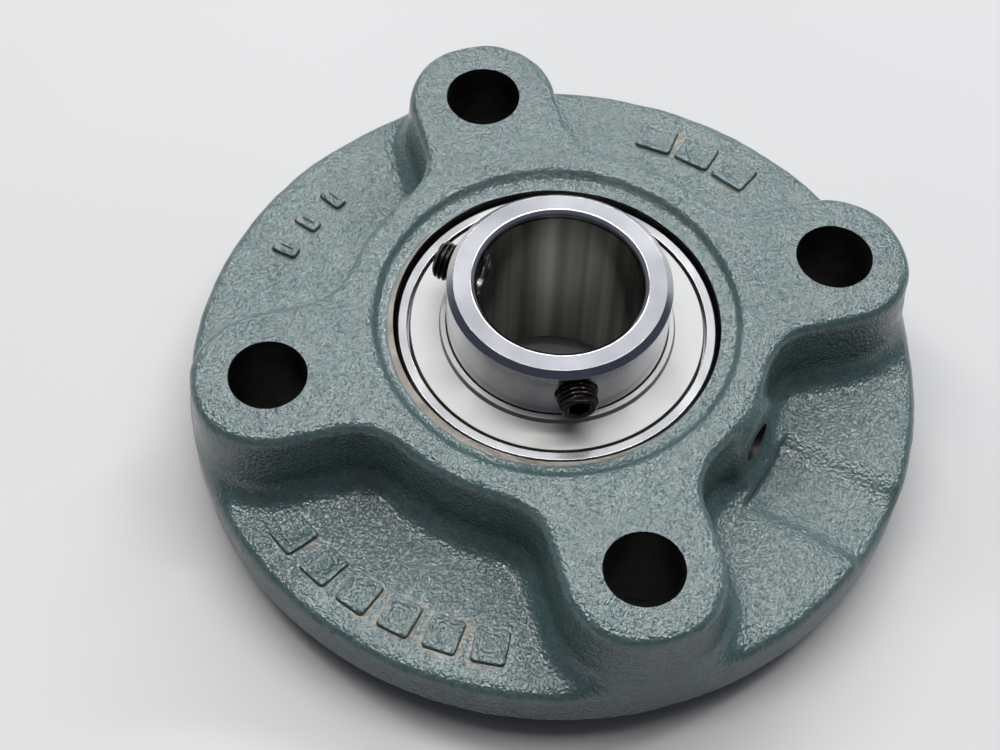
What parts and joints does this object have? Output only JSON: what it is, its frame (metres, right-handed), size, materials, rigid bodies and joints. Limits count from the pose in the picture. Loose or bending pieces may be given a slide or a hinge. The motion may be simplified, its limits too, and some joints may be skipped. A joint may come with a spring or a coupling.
{
  "type": "flange mount bearing",
  "caption": "Round four-bolt flange bearing unit: spigoted cast housing with a self-aligning ball bearing insert and set-screw collar.",
  "frame": {"origin": "on the bearing axis, at the end face of the locating spigot", "axes": "+Z along the shaft, towards the set-screw side; +X through the grease hole; bolt holes at 45 degrees to X and Y"},
  "size_m": [0.115, 0.115, 0.0358],
  "materials": {
    "housing_iron": "grey-green gloss enamel on rough sand-cast iron, machined where it mates",
    "outer_ring_steel": "fine turned and ground steel",
    "inner_ring_steel": "ground steel, polished bore",
    "ball_steel": "polished bearing steel",
    "cage_steel": "pressed sheet steel",
    "seal_steel": "pressed sheet steel",
    "seal_rubber": "moulded nitrile rubber",
    "slinger_steel": "satin pressed sheet steel",
    "black_screw": "black oxide steel",
    "pin_steel": "plain steel"
  },
  "bodies": {
    "housing_body": {"housing": "housing_iron"},
    "pin_body": {"locking_pin": "pin_steel"},
    "outer_ring_body": {"outer_ring": "outer_ring_steel", "upper_seal_core": "seal_steel", "upper_seal_lip": "seal_rubber", "lower_seal_core": "seal_steel", "lower_seal_lip": "seal_rubber"},
    "inner_ring_body": {"inner_ring": "inner_ring_steel", "upper_slinger": "slinger_steel", "lower_slinger": "slinger_steel"},
    "cage_body": {"upper_cage_half": "cage_steel", "lower_cage_half": "cage_steel", "cage_rivet_1": "cage_steel", "cage_rivet_2": "cage_steel", "cage_rivet_3": "cage_steel", "cage_rivet_4": "cage_steel", "cage_rivet_5": "cage_steel", "cage_rivet_6": "cage_steel", "cage_rivet_7": "cage_steel", "cage_rivet_8": "cage_steel", "cage_rivet_9": "cage_steel"},
    "ball_1_body": {"ball_1": "ball_steel"},
    "ball_2_body": {"ball_2": "ball_steel"},
    "ball_3_body": {"ball_3": "ball_steel"},
    "ball_4_body": {"ball_4": "ball_steel"},
    "ball_5_body": {"ball_5": "ball_steel"},
    "ball_6_body": {"ball_6": "ball_steel"},
    "ball_7_body": {"ball_7": "ball_steel"},
    "ball_8_body": {"ball_8": "ball_steel"},
    "ball_9_body": {"ball_9": "ball_steel"},
    "set_screw_1_body": {"set_screw_1": "black_screw"},
    "set_screw_2_body": {"set_screw_2": "black_screw"}
  },
  "joints": [
    {"name": "swivel_about_x", "type": "hinge", "parent": "housing_body", "child": "pin_body", "pos_m": [0, 0, 0.016], "axis": [1, 0, 0], "range_deg": [-2, 2]},
    {"name": "swivel_about_y", "type": "hinge", "parent": "pin_body", "child": "outer_ring_body", "pos_m": [0, 0, 0.016], "axis": [0, 1, 0], "range_deg": [-2, 2]},
    {"name": "shaft_spin", "type": "hinge", "parent": "outer_ring_body", "child": "inner_ring_body", "pos_m": [0, 0, 0.016], "axis": [0, 0, 1], "continuous": true},
    {"name": "cage_spin", "type": "hinge", "parent": "outer_ring_body", "child": "cage_body", "pos_m": [0, 0, 0.016], "axis": [0, 0, 1], "continuous": true},
    {"name": "ball_1_roll", "type": "hinge", "parent": "cage_body", "child": "ball_1_body", "pos_m": [0.0195, 0, 0.016], "axis": [0, 0, 1], "continuous": true},
    {"name": "ball_2_roll", "type": "hinge", "parent": "cage_body", "child": "ball_2_body", "pos_m": [0.01494, 0.01253, 0.016], "axis": [0, 0, 1], "continuous": true},
    {"name": "ball_3_roll", "type": "hinge", "parent": "cage_body", "child": "ball_3_body", "pos_m": [0.00339, 0.0192, 0.016], "axis": [0, 0, 1], "continuous": true},
    {"name": "ball_4_roll", "type": "hinge", "parent": "cage_body", "child": "ball_4_body", "pos_m": [-0.00975, 0.01689, 0.016], "axis": [0, 0, 1], "continuous": true},
    {"name": "ball_5_roll", "type": "hinge", "parent": "cage_body", "child": "ball_5_body", "pos_m": [-0.01832, 0.00667, 0.016], "axis": [0, 0, 1], "continuous": true},
    {"name": "ball_6_roll", "type": "hinge", "parent": "cage_body", "child": "ball_6_body", "pos_m": [-0.01832, -0.00667, 0.016], "axis": [0, 0, 1], "continuous": true},
    {"name": "ball_7_roll", "type": "hinge", "parent": "cage_body", "child": "ball_7_body", "pos_m": [-0.00975, -0.01689, 0.016], "axis": [0, 0, 1], "continuous": true},
    {"name": "ball_8_roll", "type": "hinge", "parent": "cage_body", "child": "ball_8_body", "pos_m": [0.00339, -0.0192, 0.016], "axis": [0, 0, 1], "continuous": true},
    {"name": "ball_9_roll", "type": "hinge", "parent": "cage_body", "child": "ball_9_body", "pos_m": [0.01494, -0.01253, 0.016], "axis": [0, 0, 1], "continuous": true},
    {"name": "set_screw_1_travel", "type": "slide", "parent": "inner_ring_body", "child": "set_screw_1_body", "axis": [0.6157, -0.788, 0], "range_m": [-0.0027, 0.003]},
    {"name": "set_screw_2_travel", "type": "slide", "parent": "inner_ring_body", "child": "set_screw_2_body", "axis": [-0.9903, -0.1392, 0], "range_m": [-0.0027, 0.003]}
  ],
  "couplings": [
    {"joint": "cage_spin", "follows": "shaft_spin", "ratio": 0.39823},
    {"joint": "ball_1_roll", "follows": "shaft_spin", "ratio": -2.3548},
    {"joint": "ball_2_roll", "follows": "shaft_spin", "ratio": -2.3548},
    {"joint": "ball_3_roll", "follows": "shaft_spin", "ratio": -2.3548},
    {"joint": "ball_4_roll", "follows": "shaft_spin", "ratio": -2.3548},
    {"joint": "ball_5_roll", "follows": "shaft_spin", "ratio": -2.3548},
    {"joint": "ball_6_roll", "follows": "shaft_spin", "ratio": -2.3548},
    {"joint": "ball_7_roll", "follows": "shaft_spin", "ratio": -2.3548},
    {"joint": "ball_8_roll", "follows": "shaft_spin", "ratio": -2.3548},
    {"joint": "ball_9_roll", "follows": "shaft_spin", "ratio": -2.3548}
  ]
}
